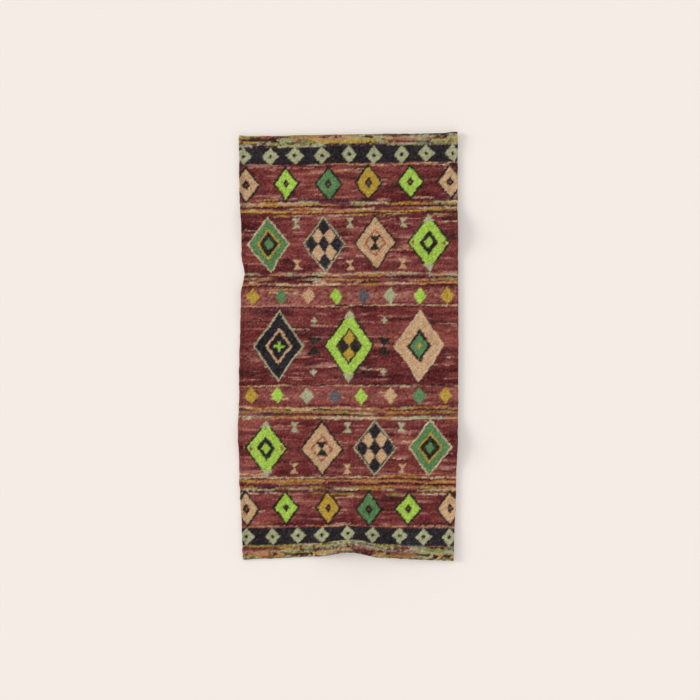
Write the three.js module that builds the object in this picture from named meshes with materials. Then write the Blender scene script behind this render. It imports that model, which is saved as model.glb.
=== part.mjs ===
// A bath towel laid out face up on a flat surface. It is one length of hemmed towelling, so it is one
// closed solid: a thin sheet whose edges stray a little from straight, with a few soft ripples where the
// cloth stands off the surface. Between the ripples its underside lies flat on the surface, at z = 0.
//
// Millimetres, +Z up. X runs across the towel and Y along it, with the origin on the surface, under the
// middle of the towel.

import * as THREE from 'three';
import { mergeVertices } from 'three/addons/utils/BufferGeometryUtils.js';

// Driving dimensions
const towelWidth = 762;
const towelLength = 1481;
const pileThickness = 4;
const hemThickness = 7;
const endHemDepth = 14;
const sideHemDepth = 8;
const hemStep = 4; // from the full hem to the pile beside it
const endSlant = 16; // how much further the right-hand ends reach than the left-hand ones, end to end
const bottomPullDepth = 170; // how far into the cloth a pull on the lower end is felt

// The sheet's grid between its hems
const columns = 28;
const rows = 50;

// Where an edge strays from its straight line. "at" is the place along the edge, "reach" how far each way
// the pull is felt, and "inward" how far it takes the edge towards the middle of the cloth.
const edgePulls = [
  { edge: 'left', at: 450, reach: 130, inward: 4 },
  { edge: 'left', at: 330, reach: 170, inward: 8 },
  { edge: 'left', at: 258, reach: 75, inward: 12 },
  { edge: 'left', at: 150, reach: 150, inward: 6.5 },
  { edge: 'left', at: 30, reach: 120, inward: 2 },
  { edge: 'left', at: -300, reach: 130, inward: -4 },
  { edge: 'left', at: -745, reach: 340, inward: 12 },
  { edge: 'right', at: 60, reach: 460, inward: -3 },
  { edge: 'right', at: -430, reach: 130, inward: 3 },
  { edge: 'right', at: -745, reach: 400, inward: 14 },
  { edge: 'bottom', at: -10, reach: 360, inward: 13 },
  { edge: 'bottom', at: 3, reach: 110, inward: 15 },
];

// Ripples that stand off the surface. Each has a crest line with a height and a half-width at both of its
// ends, and "bow" is how far its middle strays to the crest's left. The first two cross the whole towel,
// the next two make the arch in its lower end, and the others lift its edges a little.
const ripples = [
  { from: [-390, 430], to: [390, 402], height: [12, 21], halfWidth: [105, 118], bow: 10 },
  { from: [-390, -318], to: [390, -334], height: [5, 17], halfWidth: [85, 118], bow: -12 },
  { from: [26, -714], to: [34, -580], height: [33, 0], halfWidth: [200, 150], bow: 0 },
  { from: [190, -732], to: [190, -610], height: [15, 0], halfWidth: [200, 150], bow: 0 },
  { from: [-390, 160], to: [-170, 126], height: [8.5, 0], halfWidth: [112, 60], bow: 3 },
  { from: [400, 760], to: [396, -760], height: [4.4, 4], halfWidth: [70, 70], bow: 0 },
  { from: [-392, 760], to: [-392, 330], height: [3.6, 0], halfWidth: [60, 60], bow: 0 },
  { from: [-300, 750], to: [310, 748], height: [4.8, 8], halfWidth: [60, 100], bow: 0 },
  { from: [290, -800], to: [410, -650], height: [6.5, 7], halfWidth: [90, 90], bow: 0 },
];

// 1 at the middle, falling smoothly to 0 at "reach".
function swell(distance, reach) {
  const share = Math.min(Math.abs(distance) / reach, 1);
  return 0.5 + 0.5 * Math.cos(Math.PI * share);
}

// How far all the pulls on one edge take it inward at a place along it.
function pullOn(edge, place) {
  return edgePulls
    .filter((pull) => pull.edge === edge)
    .reduce((sum, pull) => sum + pull.inward * swell(place - pull.at, pull.reach), 0);
}

// The sheet's outline: flat cloth coordinates to where that point of the cloth lies.
function laidOut(across, along) {
  const u = across / towelWidth + 0.5;
  const v = along / towelLength + 0.5;
  const fromLeft = pullOn('left', along) * (1 - u);
  const fromRight = pullOn('right', along) * u;
  const beyondPull = THREE.MathUtils.smoothstep(v * towelLength, 0, bottomPullDepth);
  const fromBottom = pullOn('bottom', across) * (1 - beyondPull);
  const slant = endSlant * (u - 0.5) * (v - 0.25);
  return [across + fromLeft - fromRight, along + fromBottom + slant];
}

// One ripple's height above the surface at a point.
function heightOfRipple(ripple, x, y) {
  const [startX, startY] = ripple.from;
  const spanX = ripple.to[0] - startX;
  const spanY = ripple.to[1] - startY;
  const span = Math.hypot(spanX, spanY);
  const share = THREE.MathUtils.clamp(((x - startX) * spanX + (y - startY) * spanY) / span ** 2, 0, 1);
  const aside = (spanX * (y - startY) - spanY * (x - startX)) / span - ripple.bow * Math.sin(Math.PI * share);
  const ease = THREE.MathUtils.smoothstep(share, 0, 1);
  const crest = THREE.MathUtils.lerp(ripple.height[0], ripple.height[1], ease);
  return crest * swell(aside, THREE.MathUtils.lerp(ripple.halfWidth[0], ripple.halfWidth[1], share));
}

// The underside's height above the surface: ripples that meet merge softly.
function liftAt(x, y) {
  return Math.hypot(...ripples.map((ripple) => heightOfRipple(ripple, x, y)));
}

// The cloth's thickness, which is greater over the folded hems.
function thicknessAt(across, along) {
  const pastSideHem = towelWidth / 2 - Math.abs(across) - sideHemDepth;
  const pastEndHem = towelLength / 2 - Math.abs(along) - endHemDepth;
  const share = THREE.MathUtils.smoothstep(Math.min(pastSideHem, pastEndHem), 0, hemStep);
  return THREE.MathUtils.lerp(hemThickness, pileThickness, share);
}

// Grid lines over one dimension of the cloth: both sides of each hem's step, and even steps between them.
function gridLines(size, hemDepth, steps) {
  const inner = size / 2 - hemDepth - hemStep;
  const between = Array.from({ length: steps + 1 }, (_, i) => inner * ((2 * i) / steps - 1));
  return [-size / 2, -inner - hemStep, ...between, inner + hemStep, size / 2];
}

// A box with the grid's number of segments is moved, point by point, into the lying sheet.
function towelGeometry() {
  const xLines = gridLines(towelWidth, sideHemDepth, columns);
  const yLines = gridLines(towelLength, endHemDepth, rows);
  const xSteps = xLines.length - 1;
  const ySteps = yLines.length - 1;
  const box = new THREE.BoxGeometry(xSteps, ySteps, 1, xSteps, ySteps, 1);
  box.deleteAttribute('normal');
  box.deleteAttribute('uv');
  const sheet = mergeVertices(box);
  const points = sheet.getAttribute('position');
  for (let i = 0; i < points.count; i++) {
    const across = xLines[Math.round(points.getX(i) + xSteps / 2)];
    const along = yLines[Math.round(points.getY(i) + ySteps / 2)];
    const [x, y] = laidOut(across, along);
    const onTop = points.getZ(i) > 0;
    points.setXYZ(i, x, y, liftAt(x, y) + (onTop ? thicknessAt(across, along) : 0));
  }
  sheet.computeVertexNormals();
  return sheet;
}

const towelling = new THREE.MeshStandardMaterial({ color: '#7a3d39', roughness: 0.95, metalness: 0 });

const cloth = new THREE.Mesh(towelGeometry(), towelling);
cloth.name = 'towel_cloth';

const towel = new THREE.Group();
towel.add(cloth);

// The origin is under the middle of the whole towel's box.
const box = new THREE.Box3().setFromObject(towel);
const middle = box.getCenter(new THREE.Vector3());
cloth.position.set(-middle.x, -middle.y, -box.min.z);

export default towel;
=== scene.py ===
import math

import bpy
import numpy as np
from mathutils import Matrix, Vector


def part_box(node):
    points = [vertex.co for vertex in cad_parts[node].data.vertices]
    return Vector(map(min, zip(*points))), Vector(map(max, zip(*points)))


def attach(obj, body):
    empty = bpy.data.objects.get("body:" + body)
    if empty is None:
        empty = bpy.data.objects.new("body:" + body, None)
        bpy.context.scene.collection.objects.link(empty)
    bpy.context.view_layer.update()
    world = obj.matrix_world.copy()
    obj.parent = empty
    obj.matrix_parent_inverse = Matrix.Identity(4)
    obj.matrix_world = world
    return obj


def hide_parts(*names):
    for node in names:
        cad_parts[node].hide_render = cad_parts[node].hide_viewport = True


# A bath towel with a printed velour face and a plain looped back, laid out face up.
# Sizes are in mm and are turned into metres where a mesh, light or camera is made.

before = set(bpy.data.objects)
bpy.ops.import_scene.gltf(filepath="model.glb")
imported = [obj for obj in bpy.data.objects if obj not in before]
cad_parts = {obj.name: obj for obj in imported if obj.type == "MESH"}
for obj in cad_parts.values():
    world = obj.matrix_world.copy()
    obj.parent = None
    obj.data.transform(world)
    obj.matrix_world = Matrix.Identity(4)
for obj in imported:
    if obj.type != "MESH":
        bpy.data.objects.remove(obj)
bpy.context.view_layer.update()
mm = 0.001
print("frame loaded:", sorted(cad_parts))


def srgb(code):
    return np.array([int(code[i : i + 2], 16) for i in (1, 3, 5)]) / 255


def linear(colour):
    # sRGB, as a hex code or an array from 0 to 1, to scene linear
    colour = np.clip(srgb(colour) if isinstance(colour, str) else colour, 0, 1)
    return np.where(colour <= 0.04045, colour / 12.92, ((colour + 0.055) / 1.055) ** 2.4)


def addNode(tree, kind, inputs=(), **settings):
    made = tree.nodes.new(kind)
    for name, value in settings.items():
        setattr(made, name, value)
    for socket, value in dict(inputs).items():
        if isinstance(value, bpy.types.NodeSocket):
            tree.links.new(value, made.inputs[socket])
        else:
            made.inputs[socket].default_value = value
    return made


def swell(distance, reach):
    # 1 in the middle, falling smoothly to 0 at reach
    return 0.5 + 0.5 * np.cos(np.pi * np.clip(np.abs(distance) / reach, 0, 1))


def smoothStep(value, low, high):
    share = np.clip((value - low) / (high - low), 0, 1)
    return share * share * (3 - 2 * share)


noiseLattice = {
    "points": 97,  # random values each way, after which they repeat
    "shift": (500.37, 500.71),  # keeps the cloth's middle off the lattice's lines
}


def smoothNoise(x, y, size, seed):
    # from -1 to 1, eased between random values that are a patch's size apart
    points, shift = noiseLattice["points"], noiseLattice["shift"]
    values = np.random.default_rng(seed).uniform(-1, 1, (points, points))
    u, v = x / size[0] + shift[0], y / size[1] + shift[1]
    i, j = np.floor(u).astype(int), np.floor(v).astype(int)
    s, t = smoothStep(u - i, 0, 1), smoothStep(v - j, 0, 1)
    i0, i1, j0, j1 = i % points, (i + 1) % points, j % points, (j + 1) % points
    low = values[i0, j0] * (1 - s) + values[i1, j0] * s
    high = values[i0, j1] * (1 - s) + values[i1, j1] * s
    return low * (1 - t) + high * t


def patchy(x, y, *patches):
    # noise in patches; each is its strength, its size across and along, and its seed
    return sum(strength * smoothNoise(x, y, size, seed) for strength, size, seed in patches)


# How the cloth lies

towelForm = {
    "width": 762,
    "length": 1481,
    "pile": 4.0,  # thickness of the cloth
    "hem": 7.0,  # thickness over the folded hems
    "endHemDepth": 14,
    "sideHemDepth": 8,
    "hemStep": 4,  # from the full hem to the pile beside it
    "endSlant": 16,  # how much further the right-hand ends reach, end to end
    "slantPivot": 0.25,  # share of the length, from the lower end, where there is no slant
    "bottomPullDepth": 170,  # how far into the cloth a pull on the lower end is felt
    # where an edge strays from its line: place along it, how far each way, and how far inward
    "edgePulls": {
        "left": [
            (450, 130, 4),
            (330, 170, 8),
            (258, 75, 12),
            (150, 150, 6.5),
            (30, 120, 2),
            (-300, 130, -4),
            (-745, 340, 12),
        ],
        "right": [(60, 460, -3), (-430, 130, 3), (-745, 400, 14)],
        "bottom": [(-10, 360, 13), (3, 110, 15)],
    },
    # ripples: crest from, crest to, height and half-width at both ends, bow to the crest's left
    "ripples": [
        ((-390, 430), (390, 402), (12, 21), (105, 118), 10),
        ((-390, -318), (390, -334), (5, 17), (85, 118), -12),
        ((26, -714), (34, -580), (33, 0), (200, 150), 0),
        ((190, -732), (190, -610), (15, 0), (200, 150), 0),
        ((-390, 160), (-170, 126), (8.5, 0), (112, 60), 3),
        ((400, 760), (396, -760), (4.4, 4), (70, 70), 0),
        ((-392, 760), (-392, 330), (3.6, 0), (60, 60), 0),
        ((-300, 750), (310, 748), (4.8, 8), (60, 100), 0),
        ((290, -800), (410, -650), (6.5, 7), (90, 90), 0),
    ],
    "edgeReach": 60,  # how far in from an edge its wobble and its corners' points are felt
    "cornerOut": 3.2,  # how far the hemmed corners stick out past the ends
    # small unevenness, in patches: strength, size across and along, seed
    "sideWobble": (0.9, (180, 34), 5),
    "endWobble": (0.9, (34, 180), 6),
    "slack": 1.3,  # how far slack cloth stands off the surface
    "slackPatches": ((0.7, (150, 110), 8), (0.3, (52, 44), 9)),
    "pucker": (0.35, (11, 11), 14),
    "puckerMiddle": 8,  # from the edge, about where the seam is
    "puckerReach": 16,
    "pileUneven": ((0.16, (17, 13), 15), (0.096, (7, 6), 16)),
}
halfWidth, halfLength = towelForm["width"] / 2, towelForm["length"] / 2


def pullOn(edge, place):
    return sum(inward * swell(place - at, reach) for at, reach, inward in towelForm["edgePulls"][edge])


def laidOut(across, along):
    # flat cloth to where that point of the cloth lies
    u, v = across / towelForm["width"] + 0.5, along / towelForm["length"] + 0.5
    fromLeft = pullOn("left", along) * (1 - u)
    fromRight = pullOn("right", along) * u
    beyondPull = smoothStep(v * towelForm["length"], 0, towelForm["bottomPullDepth"])
    fromBottom = pullOn("bottom", across) * (1 - beyondPull)
    slant = towelForm["endSlant"] * (u - 0.5) * (v - towelForm["slantPivot"])
    nearSide = smoothStep(np.abs(across), halfWidth - towelForm["edgeReach"], halfWidth)
    nearEnd = smoothStep(np.abs(along), halfLength - towelForm["edgeReach"], halfLength)
    sideWobble = nearSide * patchy(across, along, towelForm["sideWobble"])
    endWobble = nearEnd * patchy(across, along, towelForm["endWobble"])
    endWobble += towelForm["cornerOut"] * nearSide * nearEnd * np.sign(along)
    return across + fromLeft - fromRight + sideWobble, along + fromBottom + slant + endWobble


def rippleHeight(ripple, x, y):
    (startX, startY), (endX, endY), height, width, bow = ripple
    spanX, spanY = endX - startX, endY - startY
    span = math.hypot(spanX, spanY)
    share = np.clip(((x - startX) * spanX + (y - startY) * spanY) / span**2, 0, 1)
    aside = (spanX * (y - startY) - spanY * (x - startX)) / span - bow * np.sin(np.pi * share)
    crest = height[0] + (height[1] - height[0]) * smoothStep(share, 0, 1)
    return crest * swell(aside, width[0] + (width[1] - width[0]) * share)


def liftAt(x, y):
    # the underside's height: ripples that meet merge softly, and slack cloth stands a little off
    ripples = np.sqrt(sum(rippleHeight(ripple, x, y) ** 2 for ripple in towelForm["ripples"]))
    return ripples + towelForm["slack"] * np.clip(patchy(x, y, *towelForm["slackPatches"]), 0, 1)


def thicknessAt(across, along):
    pastSideHem = halfWidth - np.abs(across) - towelForm["sideHemDepth"]
    pastEndHem = halfLength - np.abs(along) - towelForm["endHemDepth"]
    share = smoothStep(np.minimum(pastSideHem, pastEndHem), 0, towelForm["hemStep"])
    return towelForm["hem"] + (towelForm["pile"] - towelForm["hem"]) * share


# The sheet's grid: lines near an edge follow the rim's shoulder, the seam and the hem's step, by their
# distance from that edge, and between them there is one step to each knot of the print.
sheetGrid = {
    "sideLines": (2.2, 4.4, 6.0, 7.6, 12.0),
    "endLines": (2.2, 6.0, 10.2, 12.0, 13.8, 16.0, 18.0),
    "columns": 184,
    "rows": 400,
    "underStep": 4,  # grid steps to one face of the underside
    # the rim from the shoulder down: how far out, share of the thickness, length of cloth since the
    # shoulder, and how much of the print's dye it takes
    "rim": (
        (1.2, 0.92, 1.3, 1),
        (1.9, 0.75, 2.7, 1),
        (2.2, 0.5, 4.5, 0.95),
        (1.9, 0.25, 6.2, 0.7),
        (1.2, 0.08, 7.6, 0.4),
        (0.0, 0.0, 8.9, 0.1),
    ),
    "rimUneven": (0.5, (13, 13), 17),  # how much fuller or flatter the rim is in patches
    "cornerShare": 0.6,  # how far a corner goes out both ways, so that it is a little round
}


def linesOver(size, edgeLines, count):
    edge = np.array(edgeLines)
    between = np.linspace(edge[-1], size - edge[-1], count + 1)[1:-1]
    return np.concatenate([edge, between, size - edge[::-1]]) - size / 2


xLines = linesOver(towelForm["width"], sheetGrid["sideLines"], sheetGrid["columns"])
yLines = linesOver(towelForm["length"], sheetGrid["endLines"], sheetGrid["rows"])
across, along = np.meshgrid(xLines, yLines)  # flat cloth; rows run across it
lastColumn, lastRow = len(xLines) - 1, len(yLines) - 1

# The print: lozenges in rows between bands of odd-coloured weft, drawn as soft-edged areas, as a rug of
# thick hand-knotted wool comes out when it is printed on pile. Places are measured from its upper end,
# and its lower half is drawn from the lower end in the same way.

yarns = {
    "maroon": "#733532",
    "wine": "#551F21",
    "brick": "#945046",
    "rose": "#AC7869",
    "umber": "#38191A",
    "plum": "#48283A",
    "lime": "#9FC04C",
    "green": "#587C4E",
    "gold": "#B08F38",
    "orange": "#B08049",
    "sand": "#BF9A75",
    "celadon": "#A4A37F",
    "cream": "#C2AC88",
    "olive": "#8C853F",
    "slate": "#5F5759",
    "night": "#282328",
    "black": "#2A2521",
}

rugPrint = {
    "seed": 21,
    "raised": 4,  # how far the print sits above the cloth's middle
    "edgeBlur": 2.4,  # over which one yarn gives way to the next
    "waist": 2,  # half an hourglass's waist
    "squareSharpness": 6,  # of the checks' edges
    # how far a knot sits from where the drawing has it, by itself and with the knots around it
    "knotStray": 1.6,
    "strayAcross": ((2.4, (60, 24), 31), (1.7, (11, 8), 32)),
    "strayDown": ((2.6, (95, 60), 33), (1.5, (10, 9), 34)),
    "ragged": (1, (9, 5), 35),  # where the edge of a line is knotted wider or narrower
    "mottled": (1, (8, 6), 36),  # where one yarn shows through another
    # how much lighter or darker a knot, a column of knots and a patch of dye are than the rest
    "knotShade": 0.045,
    "columnShade": 0.008,
    "dyePatches": ((0.015, (9, 7), 91), (0.025, (150, 50), 92)),
}
draws = np.random.default_rng(rugPrint["seed"])  # the print's random choices come from here, in order
down = halfLength - along + rugPrint["raised"]  # from the print's upper end
alongRow = xLines[None, :]  # one row of the cloth, for what changes only across it
strayX, strayY = rugPrint["knotStray"] * draws.uniform(-1, 1, (2,) + across.shape)
drawnX = across + strayX + patchy(across, down, *rugPrint["strayAcross"])
drawnY = down + strayY + patchy(across, down, *rugPrint["strayDown"])
ragged = patchy(across, down, rugPrint["ragged"])
mottled = patchy(across, down, rugPrint["mottled"])
ink = np.zeros(across.shape + (3,))


def paint(cover, name):
    cover = np.clip(cover, 0, 1)[..., None]
    ink[:] = ink * (1 - cover) + srgb(yarns[name]) * cover


def softEdge(depth):
    # how much a yarn covers, from how many mm inside its area a point is
    return np.clip(depth / rugPrint["edgeBlur"] + 0.5, 0, 1)


def fromEnd(place, lower):
    return towelForm["length"] - place if lower else place


def changeAcross(strength, length, seed):
    # what changes only on the way across, such as how far a line strays
    return strength * smoothNoise(alongRow, 0 * alongRow, (length, 1), seed)


ground = {
    "yarn": "maroon",
    # patches stretched across the rug, from where one batch of wool runs out and the next is knotted in:
    # strength, size and seed, how much is held back, the yarn that they go to, and the one between them
    "patches": [
        ((1.0, (230, 75), 3), 0.08, "brick", "wine"),
        ((0.75, (150, 16), 1), 0, "brick", "wine"),
        ((0.5, (42, 7), 2), 0, "brick", "wine"),
        ((1.6, (95, 14), 4), 0.64, "umber", None),
        ((1.3, (70, 8), 6), 0.845, "plum", None),
        ((1.8, (75, 7), 5), 0.756, "rose", None),
    ],
}


def paintGround():
    ink[:] = srgb(yarns[ground["yarn"]])
    for patch, heldBack, name, between in ground["patches"]:
        amount = patchy(across, drawnY, patch) - heldBack
        paint(amount, name)
        if between:
            paint(-amount, between)


# Lines of odd weft, in bands across the rug and as short dashes all over it
weft = {
    # place from each end, thickness, how much of the width shows it in the upper and the lower half, yarns
    "lines": [
        (5, 8, (0.7, 0.7), "celadon olive brick umber"),
        (13, 9, (0.75, 0.75), "brick orange maroon umber celadon"),
        (21, 8, (0.7, 0.7), "celadon sand gold umber rose"),
        (29, 9, (0.7, 0.7), "celadon olive gold brick maroon"),
        (39, 8, (0.75, 0.75), "umber celadon olive slate"),
        (108, 5, (0.8, 0.8), "rose orange sand"),
        (114, 4, (0.5, 0.5), "rose umber cream"),
        (226, 6, (0.4, 0.6), "cream olive rose"),
        (234, 6, (0.6, 0.6), "umber plum night umber"),
        (240, 8, (0.5, 0.75), "cream celadon gold plum"),
        (248, 8, (0.5, 0.7), "orange olive umber gold"),
        (256, 7, (0.9, 0.75), "umber wine umber plum"),
        (263, 6, (0.6, 0.6), "rose cream orange umber"),
        (270, 8, (0.95, 0.95), "orange gold orange sand gold"),
        (278, 5, (0.85, 0.75), "umber night wine"),
        (284, 6, (0.45, 0.75), "celadon cream gold"),
        (486, 5, (0.5, 0.95), "celadon cream rose"),
        (493, 7, (0.75, 0.9), "cream orange celadon"),
        (500, 6, (0.65, 0.4), "night umber plum"),
        (508, 7, (0.7, 0.9), "gold celadon orange olive"),
        (516, 6, (0.6, 0.6), "umber brick cream"),
        (524, 8, (0.85, 0.95), "orange cream celadon sand"),
        (532, 5, (0.6, 0.4), "umber wine"),
        (602, 6, (0.95, 0.85), "cream rose sand"),
        (608, 5, (0.65, 0.75), "umber wine umber"),
    ],
    "stray": 1.5,  # how far a line is from its place
    "thickness": (0.85, 1.15),  # share of what it is meant to be
    "wholeWidth": (-400, 400),
    # how much a line wanders, wavers, swells, breaks off and changes yarn, and over what length
    "changes": ((4.2, 120), (1.6, 26), (0.25, 45), (1, 70), (0.5, 120)),
    "ragged": 1.3,
    "breakSharpness": 4,
    "endFade": 6,
    "cover": 0.95,
    "worn": 0.55,  # how much less a line covers where it is worn
    "mingling": 0.06,  # how far its yarns run into each other
    "rolls": (97, 89),  # down and across: most knots by which a line's noise differs from the next one's
    "dashes": 64,
    "dashStart": (-420, 360),
    "dashPlace": (102, 725),
    "dashLength": (25, 150),
    "dashThick": (2.8, 5),
    "dashShown": 0.9,
    "dashYarns": "orange rose rose cream umber umber rose plum sand",
}


def weftLine(place, names, thick, shown, reach=weft["wholeWidth"]):
    seed = int(draws.integers(1 << 30))
    changes = enumerate(weft["changes"])
    wander, waver, swelling, breaks, turn = [changeAcross(*change, seed + i) for i, change in changes]
    frayed = weft["ragged"] * np.roll(ragged, seed % weft["rolls"][0], 0)
    halfThick = thick * (0.5 + swelling) + frayed
    inLine = softEdge(halfThick - np.abs(drawnY - (place + wander + waver)))
    unbroken = np.clip((breaks + 2 * shown - 1) * weft["breakSharpness"] + 0.5, 0, 1)
    pastStart, beforeEnd = (alongRow - reach[0]) / weft["endFade"], (reach[1] - alongRow) / weft["endFade"]
    within = np.clip(pastStart, 0, 1) * np.clip(beforeEnd, 0, 1)
    wear = np.clip(np.roll(mottled, seed % weft["rolls"][1], 1), 0, 1)
    cover = (weft["cover"] - weft["worn"] * wear) * inLine * unbroken * within
    share = np.clip(turn + 0.5 + weft["mingling"] * mottled, 0, 1)
    yarnHere = np.minimum(np.floor(share * len(names)), len(names) - 1)
    for i, name in enumerate(names):
        paint(cover * (yarnHere == i), name)


def paintWeft(lower):
    for place, thick, shown, names in weft["lines"]:
        names = names.split()
        draws.shuffle(names)
        place += draws.uniform(-weft["stray"], weft["stray"])
        thick *= draws.uniform(*weft["thickness"])
        weftLine(fromEnd(place, lower), names, thick, shown[lower])
    names = weft["dashYarns"].split()
    for _ in range(weft["dashes"]):
        start, place = draws.uniform(*weft["dashStart"]), draws.uniform(*weft["dashPlace"])
        reach = (start, start + draws.uniform(*weft["dashLength"]))
        name, thick = str(draws.choice(names)), draws.uniform(*weft["dashThick"])
        weftLine(fromEnd(place, lower), [name], thick, weft["dashShown"], reach)


border = {
    "reach": (45, 104),  # from each end of the print
    "wander": (2.5, 90, 11),  # of its edges: how far, over what length, seed
    "darker": (1, (60, 12), 12),
    "count": 9,
    "pitch": 91,
    "stray": 5,
    "width": (52, 60),
    "height": (60, 66),
    "cross": (6.5, 7),  # arm from its middle, and thickness
}

# What shows between the border and the hem
endPatches = {
    "yarn": "olive",
    "wander": (2, 60, 77),
    # strength, size, seed, how much is held back, yarn
    "patches": [
        (2.6, (70, 13), 78, 0, "celadon"),
        (2.6, (78, 13), 81, 0.2, "brick"),
        (2.6, (86, 13), 84, 0.4, "celadon"),
        (2.6, (94, 13), 87, 0.6, "umber"),
        (2.6, (102, 13), 90, 0.8, "slate"),
    ],
    # how much it covers, strength, how much is held back, yarn
    "mottling": [(0.7, 2, 0.2, "umber"), (0.8, -2, 0.4, "celadon")],
}


def paintEndPatches(lower):
    depth = border["reach"][0] + changeAcross(*endPatches["wander"])
    inEnd = softEdge(depth - fromEnd(drawnY, lower))
    paint(inEnd, endPatches["yarn"])
    for strength, size, seed, heldBack, name in endPatches["patches"]:
        patch = strength * smoothNoise(across, drawnY, size, seed + lower) - heldBack
        paint(inEnd * np.clip(patch, 0, 1), name)
    for share, strength, heldBack, name in endPatches["mottling"]:
        paint(share * inEnd * np.clip(strength * mottled - heldBack, 0, 1), name)


def lozenge(centre, size):
    a, b = size[0] / 2, size[1] / 2
    share = 1 - np.abs(drawnX - centre[0]) / a - np.abs(drawnY - centre[1]) / b
    return softEdge(share * a * b / math.hypot(a, b))


def nested(centre, size, rings):
    # lozenges inside each other; a ring is its yarn and how many mm in from the outline it starts
    depthOfCore = size[0] * size[1] / 2 / math.hypot(*size)
    for name, depth in rings:
        share = 1 - depth / depthOfCore
        paint(lozenge(centre, (size[0] * share, size[1] * share)), name)


def tipped(centre, size, name, share):
    paint(lozenge(centre, size) * softEdge(np.abs(drawnY - centre[1]) - size[1] / 2 * share), name)


def flanked(centre, size, name, aside):
    for side in (-1, 1):
        paint(lozenge((centre[0] + side * aside, centre[1]), size), name)


def checkered(centre, size, light, dark, cells):
    inside = lozenge(centre, size)
    right, fall = (drawnX - centre[0]) / size[0], (drawnY - centre[1]) / size[1]
    u, v = right + fall + 0.5, right - fall + 0.5
    squares = np.sin(np.pi * cells * u) * np.sin(np.pi * cells * v)
    paint(inside, light)
    paint(inside * np.clip(rugPrint["squareSharpness"] * squares + 0.5, 0, 1), dark)


def cross(centre, size, name):
    arm, thick = size
    dx, dy = np.abs(drawnX - centre[0]), np.abs(drawnY - centre[1])
    level = np.minimum(arm - dx, thick / 2 - dy)
    upright = np.minimum(arm - dy, thick / 2 - dx)
    paint(softEdge(np.maximum(level, upright)), name)


def hourglass(centre, size, name):
    dx, dy = np.abs(drawnX - centre[0]), np.abs(drawnY - centre[1])
    pastFlank = dy * size[0] / size[1] + rugPrint["waist"] - dx
    paint(softEdge(np.minimum(size[1] / 2 - dy, pastFlank)), name)


bigSize, centreSize = (152, 200), (178, 252)
# What each large lozenge is made of, in the order in which it is drawn
fillings = {
    "green": [(nested, bigSize, [("cream", 0), ("green", 5), ("gold", 27), ("black", 33), ("green", 47)])],
    "checkered": [
        (nested, bigSize, [("celadon", 0), ("night", 5)]),
        (checkered, (130.72, 172), "sand", "night", 3),
    ],
    "sand": [
        (nested, bigSize, [("black", 0), ("sand", 6), ("brick", 30), ("sand", 35)]),
        (hourglass, (34, 50), "black"),
    ],
    "lime": [
        (nested, bigSize, [("black", 0), ("lime", 6)]),
        (tipped, bigSize, "celadon", 0.74),
        (nested, bigSize, [("black", 34), ("lime", 48)]),
        (flanked, (14, 18), "brick", 54),
    ],
    "centreDark": [
        (nested, centreSize, [("celadon", 0), ("night", 6), ("sand", 34), ("night", 42)]),
        (cross, (18, 9), "lime"),
    ],
    "centreLime": [
        (nested, centreSize, [("black", 0), ("lime", 6)]),
        (tipped, centreSize, "celadon", 0.76),
        (nested, (94, 130), [("black", 0)]),
        (checkered, (80, 112), "gold", "black", 2),
    ],
    "centreSand": [
        (nested, centreSize, [("cream", 0), ("sand", 5), ("black", 38), ("green", 48), ("gold", 66)]),
    ],
}


def fill(centre, name):
    for mark, *settings in fillings[name]:
        mark(centre, *settings)


def rowOf(row, place):
    # the centres of a row, each a little astray
    count, stray = row["count"], row["stray"]
    centres = []
    for i in range(count):
        x = (i - (count - 1) / 2) * row["pitch"] + draws.uniform(-stray, stray)
        centres.append((x, place + draws.uniform(-stray, stray) / 2))
    return centres


def sizeIn(row):
    return draws.uniform(*row["width"]), draws.uniform(*row["height"])


def inOrder(names, lower):
    names = names.split()
    return names[::-1] if lower else names


def paintBorder(lower):
    low, high = sorted(fromEnd(place, lower) for place in border["reach"])
    strength, length, seed = border["wander"]
    middleOut = drawnY + changeAcross(strength, length, seed + lower)
    inBand = softEdge(np.minimum(middleOut - low, high - middleOut))
    paint(inBand, "night")
    paint(inBand * np.clip(patchy(across, down, border["darker"]), 0, 1), "black")
    for centre in rowOf(border, (low + high) / 2):
        paint(lozenge(centre, sizeIn(border)), "celadon")
        cross(centre, border["cross"], "black")


outlinedRow = {
    "place": 174,
    "count": 6,
    "pitch": 144,
    "stray": 5,
    "width": (96, 104),
    "height": (126, 134),
    "yarns": "sand lime green gold lime sand",
    "rings": (0, 7, 29, 37),  # how many mm in from the outline its rings start
}


def paintOutlinedRow(lower):
    centres = rowOf(outlinedRow, fromEnd(outlinedRow["place"], lower))
    for name, centre in zip(inOrder(outlinedRow["yarns"], lower), centres):
        rings = zip(("black", name, "black", "brick"), outlinedRow["rings"])
        nested(centre, sizeIn(outlinedRow), rings)


smallRow = {
    "place": 566.5,
    "count": 8,
    "pitch": 97,
    "stray": 4,
    "width": (45, 51),
    "height": (58, 66),
    "yarns": "gold green sand lime slate celadon lime gold",
    # the ground about this row is paler: how far away, how strongly and in what patches, how much brick
    # it holds, and how much rose in the upper and the lower half
    "palerReach": 48,
    "palerShare": 0.7,
    "palerPatches": (0.3, (120, 12), 93),
    "palerBrick": 0.7,
    "palerRose": (0.95, 0.4),
}


def paintPalerBand(lower):
    away = drawnY - fromEnd(smallRow["place"], lower)
    strength = smallRow["palerShare"] + patchy(across, drawnY, smallRow["palerPatches"])
    band = swell(away, smallRow["palerReach"]) * strength
    paint(smallRow["palerBrick"] * band, "brick")
    paint(smallRow["palerRose"][lower] * band * np.clip(ragged + 0.5, 0, 1), "rose")


def paintSmallRow(lower):
    centres = rowOf(smallRow, fromEnd(smallRow["place"], lower))
    for name, centre in zip(inOrder(smallRow["yarns"], lower), centres):
        paint(lozenge(centre, sizeIn(smallRow)), name)


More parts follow.
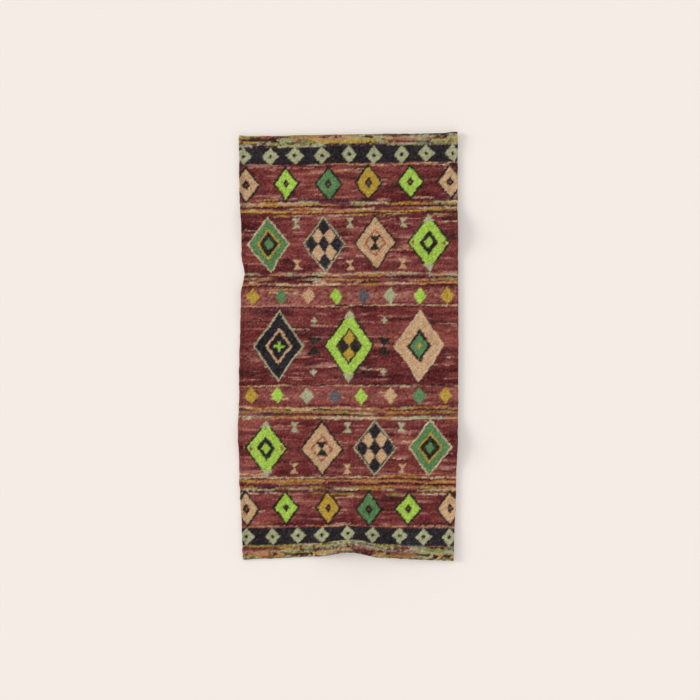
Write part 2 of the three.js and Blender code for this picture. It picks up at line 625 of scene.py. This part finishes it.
bigRow = {
    "place": 384,
    "count": 4,
    "pitch": 188,
    "stray": 5,
    "fillings": "green checkered sand lime",
    "between": {"count": 3, "pitch": 188, "stray": 3},  # rows of hourglasses, above and below the middle
    "aside": 72,
    "hourglass": (26, 34),
}


def paintBigRow(lower):
    place = fromEnd(bigRow["place"], lower)
    for name, centre in zip(inOrder(bigRow["fillings"], lower), rowOf(bigRow, place)):
        fill(centre, name)
    for side, name in ((-1, "celadon"), (1, "sand")):
        for centre in rowOf(bigRow["between"], place + side * bigRow["aside"]):
            hourglass(centre, bigRow["hourglass"], name)


centreRow = {
    "pitch": 245,
    "fillings": "centreDark centreLime centreSand",
    "hourglass": (44, 60),
    "aside": 90,  # of the crosses above and below each hourglass
    "cross": (11, 8),
}


def paintCentreRow():
    for i, name in enumerate(centreRow["fillings"].split()):
        fill(((i - 1) * centreRow["pitch"], halfLength), name)
    for x in (-centreRow["pitch"] / 2, centreRow["pitch"] / 2):
        hourglass((x, halfLength), centreRow["hourglass"], "black")
        for step in (-centreRow["aside"], centreRow["aside"]):
            cross((x, halfLength + step), centreRow["cross"], "celadon")


def paintTowel():
    paintGround()
    for lower in (False, True):
        paintPalerBand(lower)
        paintEndPatches(lower)
        paintWeft(lower)
        paintBorder(lower)
        paintOutlinedRow(lower)
        paintSmallRow(lower)
        paintBigRow(lower)
    paintCentreRow()
    # dye takes a little differently from knot to knot and from patch to patch
    shade = draws.normal(0, rugPrint["knotShade"], across.shape)
    shade += draws.normal(0, rugPrint["columnShade"], alongRow.shape)
    shade += patchy(across, down, *rugPrint["dyePatches"])
    ink[:] = ink + shade[..., None]


paintTowel()
print("print drawn on", ink.shape[1], "by", ink.shape[0], "knots")

# The towelling is one closed mesh: printed face, rounded rim, and a coarser underside.

seam = {
    "sideLine": 2,  # which of the sheet's side lines it follows
    "endLine": 3,
    "dip": 0.9,  # how deep the stitches pull the pile in
    "halfWidth": 3.2,
    "stitch": 3.0,
    "pitch": 3.9,
    "thread": 0.55,
    "raised": 0.1,  # how far the stitches' middles are above the face
    "sides": 6,  # of a stitch, around it and from end to end
    "rings": 4,
    "askew": 0.09,  # radians
    "seed": 4,
    "dyePatch": 20 / 3,  # where the thread took the dye differently
    "dyeTone": (0.86, 1.1),
}
seamX = halfWidth - sheetGrid["sideLines"][seam["sideLine"]]
seamY = halfLength - sheetGrid["endLines"][seam["endLine"]]


def seamDip(across, along):
    toSide, toEnd = np.abs(np.abs(across) - seamX), np.abs(np.abs(along) - seamY)
    besideSide = np.where(np.abs(along) < seamY + seam["halfWidth"], swell(toSide, seam["halfWidth"]), 0)
    besideEnd = np.where(np.abs(across) < seamX + seam["halfWidth"], swell(toEnd, seam["halfWidth"]), 0)
    return seam["dip"] * np.maximum(besideSide, besideEnd)


def faceHeight(across, along):
    # cloth above the surface: hems, seam, and what little the pile and the seam's pull make uneven
    fromEdge = np.minimum(halfWidth - np.abs(across), halfLength - np.abs(along))
    besideSeam = swell(fromEdge - towelForm["puckerMiddle"], towelForm["puckerReach"])
    pucker = besideSeam * patchy(across, along, towelForm["pucker"])
    uneven = patchy(across, along, *towelForm["pileUneven"])
    grown = thicknessAt(across, along) + pucker + uneven
    return liftAt(*laidOut(across, along)) + grown - seamDip(across, along)


def outlineMiddle():
    # the laid-out outline's middle, which the frame has at its own middle
    edgeX = np.concatenate([xLines, xLines, 0 * yLines - halfWidth, 0 * yLines + halfWidth])
    edgeY = np.concatenate([0 * xLines - halfLength, 0 * xLines + halfLength, yLines, yLines])
    x, y = laidOut(edgeX, edgeY)
    return (x.min() + x.max()) / 2, (y.min() + y.max()) / 2


cadLow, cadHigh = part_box("towel_cloth")
middleX, middleY = outlineMiddle()


def inRoom(across, along, height):
    # flat cloth and a height to a place in the frame, in metres
    x, y = laidOut(across, along)
    shiftX = (cadLow[0] + cadHigh[0]) / 2 - middleX * mm
    shiftY = (cadLow[1] + cadHigh[1]) / 2 - middleY * mm
    return np.stack([x * mm + shiftX, y * mm + shiftY, height * mm + cadLow[2]], -1)


def rimWalk():
    # the face's outer grid places in order, anticlockwise from the lower left
    lower = [(0, i) for i in range(lastColumn)]
    right = [(j, lastColumn) for j in range(lastRow)]
    upper = [(lastRow, i) for i in range(lastColumn, 0, -1)]
    left = [(j, 0) for j in range(lastRow, 0, -1)]
    return np.array(lower + right + upper + left).T


def outwardOf(walk):
    # which way is out at each place of the walk, across and along
    outwardX = (walk[1] == lastColumn) * 1.0 - (walk[1] == 0)
    outwardY = (walk[0] == lastRow) * 1.0 - (walk[0] == 0)
    outward = np.stack([outwardX, outwardY])
    atCorner = np.abs(outward).sum(0) == 2
    outward[:, atCorner] *= sheetGrid["cornerShare"]
    return outward


def sheetPoints(walk):
    # every point's place in the frame, its print, how much dye it takes, and its place when unrolled flat
    outward = outwardOf(walk)
    shoulder = np.stack([across[tuple(walk)], along[tuple(walk)]])
    flats = [np.stack([across.ravel(), along.ravel()])]
    heights = [faceHeight(*flats[0])]
    inks, unrolled = [ink.reshape(-1, 3)], [flats[0]]
    fullness = 1 + patchy(*shoulder, sheetGrid["rimUneven"])
    for out, share, length, _ in sheetGrid["rim"]:
        flats.append(shoulder + outward * out * fullness)
        heights.append(liftAt(*laidOut(*flats[-1])) + share * thicknessAt(*shoulder))
        inks.append(ink[tuple(walk)] + draws.normal(0, rugPrint["knotShade"], (walk.shape[1], 1)))
        unrolled.append(shoulder + outward * length)
    step = sheetGrid["underStep"]
    under = np.stack([lines[step:-1:step, step:-1:step].ravel() for lines in (across, along)])
    flats.append(under)
    heights.append(liftAt(*laidOut(*under)))
    inks.append(np.zeros((under.shape[1], 3)))
    unrolled.append(under)
    dyed = [1] + [ring[3] for ring in sheetGrid["rim"]] + [0]
    cover = np.repeat(dyed, [part.shape[1] for part in flats])
    places = inRoom(*np.concatenate(flats, 1), np.concatenate(heights))
    return places, np.concatenate(inks), cover, np.concatenate(unrolled, 1)


def sheetFaces(walk):
    # faces as lists of points, and how many of them belong to the face and the rim
    grid = np.arange(across.size).reshape(across.shape)
    corners = [grid[:-1, :-1], grid[:-1, 1:], grid[1:, 1:], grid[1:, :-1]]
    faces = np.stack(corners, 2).reshape(-1, 4).tolist()
    ring = grid[tuple(walk)]
    for i in range(len(sheetGrid["rim"])):
        outer = across.size + i * len(ring) + np.arange(len(ring))
        faces += np.stack([ring, outer, np.roll(outer, -1), np.roll(ring, -1)], 1).tolist()
        ring = outer
    topFaces = len(faces)
    step = sheetGrid["underStep"]
    pointAt = np.full(across.shape, -1)  # the underside's points by grid place, and -1 where it has none
    pointAt[tuple(walk)] = ring
    inner = pointAt[step:-1:step, step:-1:step]
    inner[:] = ring[-1] + 1 + np.arange(inner.size).reshape(inner.shape)
    for j in range(0, lastRow, step):
        for i in range(0, lastColumn, step):
            lower, right = pointAt[j, i : i + step], pointAt[j : j + step, i + step]
            upper, left = pointAt[j + step, i + 1 : i + step + 1], pointAt[j + 1 : j + step + 1, i]
            around = np.concatenate([lower, right, upper[::-1], left[::-1]])
            faces.append(around[around >= 0][::-1].tolist())
    return faces, topFaces


def addAttribute(mesh, name, kind, values):
    made = mesh.attributes.new(name, kind, "POINT")
    key = {"FLOAT": "value", "FLOAT_VECTOR": "vector", "FLOAT_COLOR": "color"}[kind]
    made.data.foreach_set(key, np.asarray(values, np.float32).ravel())


def addInk(mesh, inks, cover, flat):
    # the print, how much of it a point takes, and the flat cloth's place in mm for the fine patterns
    addAttribute(mesh, "printInk", "FLOAT_COLOR", np.column_stack([linear(inks), np.ones(len(inks))]))
    addAttribute(mesh, "inkCover", "FLOAT", cover)
    addAttribute(mesh, "flatCloth", "FLOAT_VECTOR", np.column_stack([flat[0], flat[1], 0 * flat[0]]))


# The baking map has the face and rim on its left and the underside on its right, as shares of its side
bakeMap = {"margin": 0.002, "faceWidth": 0.776, "underLeft": 0.79, "underWidth": 0.2}


def unrollSheet(mesh, unrolled, topFaces):
    reach = np.array([halfWidth, halfLength]) + sheetGrid["rim"][-1][2]
    share = (unrolled.T / reach + 1) / 2
    corners = np.zeros(len(mesh.loops), np.int32)
    mesh.loops.foreach_get("vertex_index", corners)
    share = share[corners]
    onTop = np.arange(len(corners)) < 4 * topFaces
    faceU = bakeMap["margin"] + bakeMap["faceWidth"] * share[:, 0]
    underU = bakeMap["underLeft"] + bakeMap["underWidth"] * share[:, 0]
    v = bakeMap["margin"] + (1 - 2 * bakeMap["margin"]) * share[:, 1]
    places = mesh.uv_layers.new(name="OFBake")
    places.data.foreach_set("uv", np.stack([np.where(onTop, faceU, underU), v], 1).astype(np.float32).ravel())


def addObject(name, mesh, *materials):
    made = bpy.data.objects.new(name, mesh)
    bpy.context.scene.collection.objects.link(made)
    for material in materials:
        mesh.materials.append(material)
    return made


def makeTowelling(velour, loops):
    walk = rimWalk()
    places, inks, cover, unrolled = sheetPoints(walk)
    faces, topFaces = sheetFaces(walk)
    mesh = bpy.data.meshes.new("towelling")
    mesh.from_pydata(places.tolist(), [], faces)
    addInk(mesh, inks, cover, unrolled)
    unrollSheet(mesh, unrolled, topFaces)
    mesh.polygons.foreach_set("material_index", (np.arange(len(faces)) >= topFaces).astype(np.int32))
    mesh.shade_smooth()
    return addObject("towelling", mesh, velour, loops)


# Materials

towelling = {
    "unprinted": "#EDE8DF",
    "tuft": 2.6,  # real tufts are about 1 mm across, drawn coarser because finer ones don't show
    "tuftRound": 0.7,  # how smoothly one tuft gives way to the next
    "tuftDepth": 0.5,
    "tuftBump": 0.5,
    "tuftTone": 0.22,  # how much lighter or darker one tuft is than the next
    "tuftPaintedShade": 0.18,  # painted shade, how much darker it is between tufts
    "lean": 3.64,  # patches where tufts lean one way, by up to a tuft's width
    "fibre": 0.7,
    "fibreDepth": 0.5,
    "fibreBump": 0.7,
    "fibreTone": 0.2,
    "napSheenPatches": 46,  # size of the patches of painted sheen and shade where the whole pile leans one way
    "napPaintedSheen": 0.045,
    "noiseDetail": 3,
    "loop": 3.0,  # real loops are about 1.5 mm apart, drawn coarser for the same reason
    "loopStray": 0.6,  # 0 would be a strict grid of loops and 1 none
    "loopDepth": 1.4,
    "loopBump": 0.7,
    "loopPaintedShade": (1.03, 0.84),  # painted shade, tone on a loop and between loops
}
cottonSurface = {
    "Roughness": 0.95,
    "IOR": 1.45,
    "Specular IOR Level": 0.05,
    "Sheen Weight": 0.05,
    "Sheen Tint": (*linear("#F3DDCF"), 1),
    "Sheen Roughness": 0.6,
}
threadSurface = {"Roughness": 0.6, "IOR": 1.5, "Specular IOR Level": 0.35, "Sheen Weight": 0.1}
patternRange = {"From Min": 0.2, "From Max": 0.8}  # between which most of a texture's values lie


def newMaterial(name, settings):
    made = bpy.data.materials.new(name)
    made.use_nodes = True
    shader = made.node_tree.nodes["Principled BSDF"]
    for socket, value in settings.items():
        shader.inputs[socket].default_value = value
    return made, made.node_tree, shader


def toned(tree, colour, pattern, low, high):
    # a colour made lighter or darker where a texture's value is, from low to high
    spread = {"Value": pattern, "To Min": low, "To Max": high, **patternRange}
    tone = addNode(tree, "ShaderNodeMapRange", spread).outputs["Result"]
    return addNode(tree, "ShaderNodeVectorMath", {0: colour, "Scale": tone}, operation="SCALE").outputs[0]


def dyedColour(tree):
    # the print over unprinted cotton
    dye = addNode(tree, "ShaderNodeAttribute", attribute_name="printInk").outputs["Color"]
    cover = addNode(tree, "ShaderNodeAttribute", attribute_name="inkCover").outputs["Fac"]
    bare = (*linear(towelling["unprinted"]), 1)
    return addNode(tree, "ShaderNodeMix", {0: cover, 6: bare, 7: dye}, data_type="RGBA").outputs[2]


def printedVelour():
    # Printed cotton velour: loops sheared off and dyed from above. Dead matt, with painted sheen and shade
    #  in soft patches where the nap leans, a grain of round tufts with painted shade between them and fuzzy
    #  on top, and fading to off-white low on the rim, where the dye doesn't reach.
    made, tree, shader = newMaterial("printed sheared cotton velour", cottonSurface)
    flat = addNode(tree, "ShaderNodeAttribute", attribute_name="flatCloth").outputs["Vector"]
    noises = []
    for size in (towelling["napSheenPatches"], towelling["fibre"], towelling["lean"]):
        patches = {"Vector": flat, "Scale": 1 / size, "Detail": towelling["noiseDetail"]}
        noises.append(addNode(tree, "ShaderNodeTexNoise", patches))
    napSheenPatches, fibres, lean = noises
    reach = {0: lean.outputs["Color"], "Scale": towelling["tuft"]}
    astray = addNode(tree, "ShaderNodeVectorMath", reach, operation="SCALE").outputs[0]
    leaning = addNode(tree, "ShaderNodeVectorMath", {0: flat, 1: astray}).outputs[0]
    lattice = {"Vector": leaning, "Scale": 1 / towelling["tuft"], "Smoothness": towelling["tuftRound"]}
    tufts = addNode(tree, "ShaderNodeTexVoronoi", lattice, feature="SMOOTH_F1")
    colour = dyedColour(tree)
    for pattern, low, high in (
        (tufts.outputs["Color"], 1 - towelling["tuftTone"], 1 + towelling["tuftTone"]),
        # painted sheen and shade: lighter and darker in patches where the nap leans
        (napSheenPatches.outputs["Fac"], 1 - towelling["napPaintedSheen"], 1 + towelling["napPaintedSheen"]),
        (fibres.outputs["Fac"], 1 - towelling["fibreTone"], 1 + towelling["fibreTone"]),
        # painted shade: darker between the tufts, a little lighter on them
        (tufts.outputs["Distance"], 1 + towelling["tuftPaintedShade"] / 2, 1 - towelling["tuftPaintedShade"]),
    ):
        colour = toned(tree, colour, pattern, low, high)
    tree.links.new(colour, shader.inputs["Base Color"])
    fuzz = {"Height": fibres.outputs["Fac"], "Distance": towelling["fibreDepth"] * mm}
    fuzzy = addNode(tree, "ShaderNodeBump", {**fuzz, "Strength": towelling["fibreBump"]}).outputs[0]
    domed = {"Value": tufts.outputs["Distance"], "To Min": 1, "To Max": 0, **patternRange}
    height = addNode(tree, "ShaderNodeMapRange", domed).outputs["Result"]
    bump = {"Height": height, "Distance": towelling["tuftDepth"] * mm, "Normal": fuzzy}
    bumped = addNode(tree, "ShaderNodeBump", {**bump, "Strength": towelling["tuftBump"]}).outputs[0]
    tree.links.new(bumped, shader.inputs["Normal"])
    return made


def loopedBack():
    # Unprinted cotton terry, its loops left whole: soft off-white and nubbly, with painted shade between the
    # loops.
    made, tree, shader = newMaterial("unprinted looped cotton terry", cottonSurface)
    flat = addNode(tree, "ShaderNodeAttribute", attribute_name="flatCloth").outputs["Vector"]
    lattice = {"Vector": flat, "Scale": 1 / towelling["loop"], "Randomness": towelling["loopStray"]}
    loops = addNode(tree, "ShaderNodeTexVoronoi", lattice).outputs["Distance"]
    # painted shade: darker between the loops
    colour = toned(tree, tuple(linear(towelling["unprinted"])), loops, *towelling["loopPaintedShade"])
    tree.links.new(colour, shader.inputs["Base Color"])
    domed = {"Value": loops, "To Min": 1, "To Max": 0, **patternRange}
    height = addNode(tree, "ShaderNodeMapRange", domed).outputs["Result"]
    bump = {"Height": height, "Distance": towelling["loopDepth"] * mm, "Strength": towelling["loopBump"]}
    tree.links.new(addNode(tree, "ShaderNodeBump", bump).outputs[0], shader.inputs["Normal"])
    return made


def spunThread():
    # Spun polyester sewing thread, dyed with the face and off-white below: a shade smoother than the pile.
    made, tree, shader = newMaterial("spun polyester thread", threadSurface)
    flat = addNode(tree, "ShaderNodeAttribute", attribute_name="flatCloth").outputs["Vector"]
    patches = {"Vector": flat, "Scale": 1 / seam["dyePatch"], "Detail": 2}
    uptake = addNode(tree, "ShaderNodeTexNoise", patches).outputs["Fac"]
    colour = toned(tree, dyedColour(tree), uptake, *seam["dyeTone"])
    tree.links.new(colour, shader.inputs["Base Color"])
    return made


cloth = makeTowelling(printedVelour(), loopedBack())
print("towelling made:", len(cloth.data.polygons), "faces")

# Hem stitches: one seam line on the face and one below it, each a closed path that the stitches follow


def seamGuide():
    # the seam runs through grid places, so that on the face it lies in the dip that it makes
    left, lower = seam["sideLine"], seam["endLine"]
    right, upper = lastColumn - left, lastRow - lower
    path = [(lower, i) for i in range(left, right)]
    path += [(j, right) for j in range(lower, upper)]
    path += [(upper, i) for i in range(right, left, -1)]
    path += [(j, left) for j in range(upper, lower, -1)]
    rows, columns = np.array(path).T
    flat = np.stack([across[rows, columns], along[rows, columns]])
    onFace = inRoom(*flat, faceHeight(*flat) + seam["raised"])
    below = inRoom(*flat, liftAt(*laidOut(*flat)))
    count = len(path)
    edges = [(k * count + i, k * count + (i + 1) % count) for k in range(2) for i in range(count)]
    mesh = bpy.data.meshes.new("seam guide")
    mesh.from_pydata(np.concatenate([onFace, below]).tolist(), edges, [])
    addInk(mesh, np.tile(ink[rows, columns], (2, 1)), np.repeat([1, 0], count), np.tile(flat, 2))
    return addObject("hem_stitches", mesh)


def stitchTree(thread):
    tree = bpy.data.node_groups.new("stitches along a seam", "GeometryNodeTree")
    tree.interface.new_socket("Geometry", in_out="OUTPUT", socket_type="NodeSocketGeometry")
    tree.interface.new_socket("Geometry", in_out="INPUT", socket_type="NodeSocketGeometry")
    for name in ("Pitch", "Stitch length", "Thread", "Askew"):
        tree.interface.new_socket(name, in_out="INPUT", socket_type="NodeSocketFloat")
    tree.interface.new_socket("Seed", in_out="INPUT", socket_type="NodeSocketInt")
    given = addNode(tree, "NodeGroupInput").outputs
    path = addNode(tree, "GeometryNodeMeshToCurve", {0: given["Geometry"]}).outputs[0]
    spacing = {"Curve": path, "Length": given["Pitch"]}
    spaced = addNode(tree, "GeometryNodeResampleCurve", spacing, mode="LENGTH").outputs[0]
    ball = {"Segments": seam["sides"], "Rings": seam["rings"], "Radius": 0.5}  # scaled to a stitch below
    stitch = addNode(tree, "GeometryNodeMeshUVSphere", ball).outputs[0]
    size = {"X": given["Stitch length"], "Y": given["Thread"], "Z": given["Thread"]}
    scale = addNode(tree, "ShaderNodeCombineXYZ", size).outputs[0]
    tangent = addNode(tree, "GeometryNodeInputTangent").outputs[0]
    ahead = addNode(tree, "FunctionNodeAlignRotationToVector", {"Vector": tangent}, axis="X").outputs[0]
    least = addNode(tree, "ShaderNodeMath", {0: given["Askew"], 1: -1.0}, operation="MULTIPLY").outputs[0]
    turn = {2: least, 3: given["Askew"], "Seed": given["Seed"]}
    aside = addNode(tree, "FunctionNodeRandomValue", turn, data_type="FLOAT").outputs[1]
    about = addNode(tree, "FunctionNodeAxisAngleToRotation", {"Axis": (0, 0, 1), "Angle": aside}).outputs[0]
    lay = addNode(tree, "FunctionNodeRotateRotation", {0: ahead, 1: about}, rotation_space="LOCAL").outputs[0]
    placing = {"Points": spaced, "Instance": stitch, "Rotation": lay, "Scale": scale}
    placed = addNode(tree, "GeometryNodeInstanceOnPoints", placing).outputs[0]
    real = addNode(tree, "GeometryNodeRealizeInstances", {0: placed}).outputs[0]
    sewn = addNode(tree, "GeometryNodeSetMaterial", {"Geometry": real, "Material": thread}).outputs[0]
    addNode(tree, "NodeGroupOutput", {0: sewn})
    return tree


def makeStitches(thread):
    made = seamGuide()
    sewing = made.modifiers.new("stitches", "NODES")
    sewing.node_group = stitchTree(thread)
    sizes = {
        "Pitch": seam["pitch"] * mm,
        "Stitch length": seam["stitch"] * mm,
        "Thread": seam["thread"] * mm,
        "Askew": seam["askew"],
        "Seed": seam["seed"],
    }
    for item in sewing.node_group.interface.items_tree:
        if item.in_out == "INPUT" and item.name in sizes:
            sewing[item.identifier] = sizes[item.name]
    evaluated = made.evaluated_get(bpy.context.evaluated_depsgraph_get())
    guide = made.data
    made.data = bpy.data.meshes.new_from_object(evaluated)
    made.modifiers.clear()
    bpy.data.meshes.remove(guide)
    made.data.name = "hem stitches"
    made.data.shade_smooth()
    return made


stitches = makeStitches(spunThread())
print("hems stitched:", len(stitches.data.polygons), "faces")

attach(cloth, "root")
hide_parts("towel_cloth")
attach(stitches, "root")

# Floor, light and camera

studio = {
    "floor": "#F4ECE5",
    "floorRadius": 30000,
    "floorSides": 96,
    "underCloth": 0.3,  # how far the floor is below the cloth's underside
    "walls": 1.11,  # how bright the room is below the ceiling, and the ceiling itself
    "ceiling": 0.61,
    "ceilingFrom": (0.6, 0.68),  # sine of the angle where walls turn to ceiling, about 40 degrees up
    "sun": 1.72,
    "sunHeight": 20,  # degrees above the floor
    "sunHeading": -10,  # degrees from +X, the way that the light travels
    "sunWidth": 22,
    "lens": 85,
    "sensor": 36,
    "frame": 2442,  # mm of floor across the picture
    "aim": (6.3, -12.1),
}


def makeFloor():
    turns = np.linspace(0, 2 * np.pi, studio["floorSides"], endpoint=False)
    radius, depth = studio["floorRadius"] * mm, -studio["underCloth"] * mm
    places = [(radius * math.cos(turn), radius * math.sin(turn), depth) for turn in turns]
    mesh = bpy.data.meshes.new("floor")
    mesh.from_pydata(places, [], [list(range(len(places)))])
    settings = {"Base Color": (*linear(studio["floor"]), 1), "Roughness": 1, "Specular IOR Level": 0}
    return addObject("floor", mesh, newMaterial("matt painted board", settings)[0])


def makeLight():
    world = bpy.data.worlds.new("soft studio")
    world.use_nodes = True
    tree, background = world.node_tree, world.node_tree.nodes["Background"]
    direction = addNode(tree, "ShaderNodeTexCoord").outputs["Generated"]
    upward = addNode(tree, "ShaderNodeSeparateXYZ", {0: direction}).outputs["Z"]
    low, high = studio["ceilingFrom"]
    spread = {"Value": upward, "From Min": low, "From Max": high}
    spread.update({"To Min": studio["walls"], "To Max": studio["ceiling"]})
    glow = addNode(tree, "ShaderNodeMapRange", spread).outputs["Result"]
    tree.links.new(glow, background.inputs["Strength"])
    background.inputs["Color"].default_value = (1, 1, 1, 1)
    bpy.context.scene.world = world
    sun = bpy.data.lights.new("window", "SUN")
    sun.energy = studio["sun"]
    sun.angle = math.radians(studio["sunWidth"])
    lamp = bpy.data.objects.new("window", sun)
    lamp.rotation_euler = (0, math.radians(studio["sunHeight"] - 90), math.radians(studio["sunHeading"]))
    bpy.context.scene.collection.objects.link(lamp)


def makeCamera():
    lens = bpy.data.cameras.new("camera")
    lens.lens, lens.sensor_width = studio["lens"], studio["sensor"]
    camera = bpy.data.objects.new("camera", lens)
    above = studio["frame"] * studio["lens"] / studio["sensor"]
    camera.location = (studio["aim"][0] * mm, studio["aim"][1] * mm, above * mm)
    bpy.context.scene.collection.objects.link(camera)
    bpy.context.scene.camera = camera


makeFloor()
makeLight()
makeCamera()
bpy.context.scene.view_settings.view_transform = "Standard"
print("stage set")
